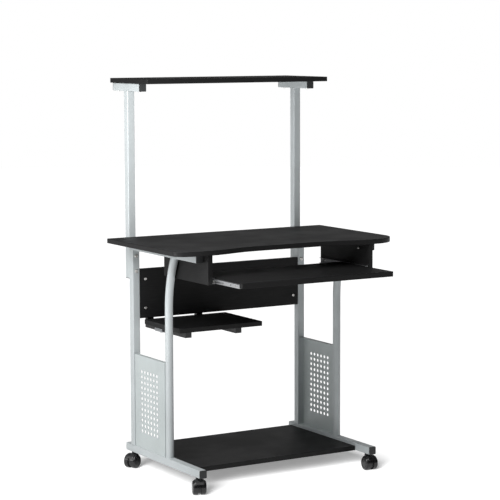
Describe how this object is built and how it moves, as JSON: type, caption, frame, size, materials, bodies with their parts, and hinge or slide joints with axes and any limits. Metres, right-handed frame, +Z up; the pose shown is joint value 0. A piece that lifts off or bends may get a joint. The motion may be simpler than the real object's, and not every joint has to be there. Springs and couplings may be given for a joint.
{
  "type": "mobile printer stand",
  "caption": "Rolling printer stand: black boards on a silver tube frame, with a raised shelf on masts, a desktop, sliding keyboard tray, small book shelf, base board and swivel casters.",
  "frame": {"origin": "middle of the footprint at floor level, under the stand, with the keyboard tray pulled out as at rest", "axes": "+Z up, -Y towards the user, +X to the user's right"},
  "size_m": [0.806, 0.724, 1.256],
  "materials": {
    "silver_tube": "silver-grey powder coat, satin",
    "silver_sheet": "silver-grey powder coat on folded sheet, satin",
    "black_board": "black laminated board with a soft satin sheen",
    "black_plug": "charcoal moulded plastic, matte",
    "grey_cap": "light grey moulded plastic",
    "black_steel": "black powder coat",
    "zinc_steel": "zinc-plated steel",
    "slide_steel": "zinc-plated rolled steel",
    "roller_nylon": "white nylon",
    "nickel_screw": "nickel-plated steel",
    "caster_plastic": "black moulded nylon, semi-gloss",
    "wheel_plastic": "black moulded nylon, semi-gloss, scuffed at the tread",
    "pin_steel": "plain steel pin"
  },
  "bodies": {
    "frame": {"left_foot_tube": "silver_tube", "left_rear_post": "silver_tube", "left_front_post": "silver_tube", "left_desk_rail": "silver_tube", "left_mast": "silver_tube", "left_top_rail": "silver_tube", "left_side_panel": "silver_sheet", "left_tray_hanger": "black_board", "left_slide_channel": "slide_steel", "right_foot_tube": "silver_tube", "right_rear_post": "silver_tube", "right_front_post": "silver_tube", "right_desk_rail": "silver_tube", "right_mast": "silver_tube", "right_top_rail": "silver_tube", "right_side_panel": "silver_sheet", "right_tray_hanger": "black_board", "right_slide_channel": "slide_steel", "desktop": "black_board", "printer_shelf": "black_board", "back_panel": "black_board", "base_board": "black_board", "book_shelf": "black_board", "tube_plugs": "black_plug", "foot_rear_caps": "grey_cap", "book_shelf_arms": "black_steel", "book_shelf_clips": "zinc_steel", "back_panel_tabs": "silver_sheet", "base_board_tabs": "silver_sheet", "caster_sockets": "caster_plastic", "mast_bolts": "nickel_screw", "mast_nuts": "nickel_screw", "back_panel_screws": "nickel_screw", "rail_screws": "nickel_screw", "hanger_screws": "nickel_screw", "board_screws": "nickel_screw"},
    "tray": {"keyboard_tray": "black_board", "left_slide_runner": "slide_steel", "right_slide_runner": "slide_steel", "tray_screws": "nickel_screw"},
    "left_front_roller": {"left_front_roller": "roller_nylon"},
    "left_rear_roller": {"left_rear_roller": "roller_nylon"},
    "right_front_roller": {"right_front_roller": "roller_nylon"},
    "right_rear_roller": {"right_rear_roller": "roller_nylon"},
    "front_left_caster": {"front_left_caster_housing": "caster_plastic", "front_left_caster_pins": "pin_steel"},
    "front_left_wheel_a": {"front_left_wheel_a": "wheel_plastic"},
    "front_left_wheel_b": {"front_left_wheel_b": "wheel_plastic"},
    "front_right_caster": {"front_right_caster_housing": "caster_plastic", "front_right_caster_pins": "pin_steel"},
    "front_right_wheel_a": {"front_right_wheel_a": "wheel_plastic"},
    "front_right_wheel_b": {"front_right_wheel_b": "wheel_plastic"},
    "rear_left_caster": {"rear_left_caster_housing": "caster_plastic", "rear_left_caster_pins": "pin_steel"},
    "rear_left_wheel_a": {"rear_left_wheel_a": "wheel_plastic"},
    "rear_left_wheel_b": {"rear_left_wheel_b": "wheel_plastic"},
    "rear_right_caster": {"rear_right_caster_housing": "caster_plastic", "rear_right_caster_pins": "pin_steel"},
    "rear_right_wheel_a": {"rear_right_wheel_a": "wheel_plastic"},
    "rear_right_wheel_b": {"rear_right_wheel_b": "wheel_plastic"}
  },
  "joints": [
    {"name": "tray_slide", "type": "slide", "parent": "frame", "child": "tray", "axis": [0, -1, 0], "range_m": [-0.146, 0.05]},
    {"name": "left_front_roller_spin", "type": "hinge", "parent": "frame", "child": "left_front_roller", "pos_m": [-0.27625, -0.196, 0.6565], "axis": [1, 0, 0], "range_deg": [-1525, 525]},
    {"name": "left_rear_roller_spin", "type": "hinge", "parent": "tray", "child": "left_rear_roller", "pos_m": [-0.27625, -0.098, 0.6553], "axis": [1, 0, 0], "range_deg": [-1525, 525]},
    {"name": "right_front_roller_spin", "type": "hinge", "parent": "frame", "child": "right_front_roller", "pos_m": [0.27625, -0.196, 0.6565], "axis": [1, 0, 0], "range_deg": [-1525, 525]},
    {"name": "right_rear_roller_spin", "type": "hinge", "parent": "tray", "child": "right_rear_roller", "pos_m": [0.27625, -0.098, 0.6553], "axis": [1, 0, 0], "range_deg": [-1525, 525]},
    {"name": "front_left_swivel", "type": "hinge", "parent": "frame", "child": "front_left_caster", "pos_m": [-0.3125, -0.164, 0.05], "axis": [0, 0, 1], "continuous": true},
    {"name": "front_left_wheel_a_spin", "type": "hinge", "parent": "front_left_caster", "child": "front_left_wheel_a", "pos_m": [-0.30569, -0.18185, 0.0225], "axis": [0.9272, -0.3746, 0], "continuous": true},
    {"name": "front_left_wheel_b_spin", "type": "hinge", "parent": "front_left_caster", "child": "front_left_wheel_b", "pos_m": [-0.3298, -0.17211, 0.0225], "axis": [0.9272, -0.3746, 0], "continuous": true},
    {"name": "front_right_swivel", "type": "hinge", "parent": "frame", "child": "front_right_caster", "pos_m": [0.3125, -0.164, 0.05], "axis": [0, 0, 1], "continuous": true},
    {"name": "front_right_wheel_a_spin", "type": "hinge", "parent": "front_right_caster", "child": "front_right_wheel_a", "pos_m": [0.32423, -0.17908, 0.0225], "axis": [0.9962, -0.0872, 0], "continuous": true},
    {"name": "front_right_wheel_b_spin", "type": "hinge", "parent": "front_right_caster", "child": "front_right_wheel_b", "pos_m": [0.29833, -0.17681, 0.0225], "axis": [0.9962, -0.0872, 0], "continuous": true},
    {"name": "rear_left_swivel", "type": "hinge", "parent": "frame", "child": "rear_left_caster", "pos_m": [-0.3125, 0.258, 0.05], "axis": [0, 0, 1], "continuous": true},
    {"name": "rear_left_wheel_a_spin", "type": "hinge", "parent": "rear_left_caster", "child": "rear_left_wheel_a", "pos_m": [-0.31812, 0.23974, 0.0225], "axis": [0.5, -0.866, 0], "continuous": true},
    {"name": "rear_left_wheel_b_spin", "type": "hinge", "parent": "rear_left_caster", "child": "rear_left_wheel_b", "pos_m": [-0.33112, 0.26226, 0.0225], "axis": [0.5, -0.866, 0], "continuous": true},
    {"name": "rear_right_swivel", "type": "hinge", "parent": "frame", "child": "rear_right_caster", "pos_m": [0.3125, 0.258, 0.05], "axis": [0, 0, 1], "continuous": true},
    {"name": "rear_right_wheel_a_spin", "type": "hinge", "parent": "rear_right_caster", "child": "rear_right_wheel_a", "pos_m": [0.32868, 0.24784, 0.0225], "axis": [0.9659, 0.2588, 0], "continuous": true},
    {"name": "rear_right_wheel_b_spin", "type": "hinge", "parent": "rear_right_caster", "child": "rear_right_wheel_b", "pos_m": [0.30357, 0.24111, 0.0225], "axis": [0.9659, 0.2588, 0], "continuous": true}
  ],
  "couplings": [
    {"joint": "left_front_roller_spin", "follows": "tray_slide", "rad_per_m": 181.82},
    {"joint": "left_rear_roller_spin", "follows": "tray_slide", "rad_per_m": 181.82},
    {"joint": "right_front_roller_spin", "follows": "tray_slide", "rad_per_m": 181.82},
    {"joint": "right_rear_roller_spin", "follows": "tray_slide", "rad_per_m": 181.82}
  ]
}
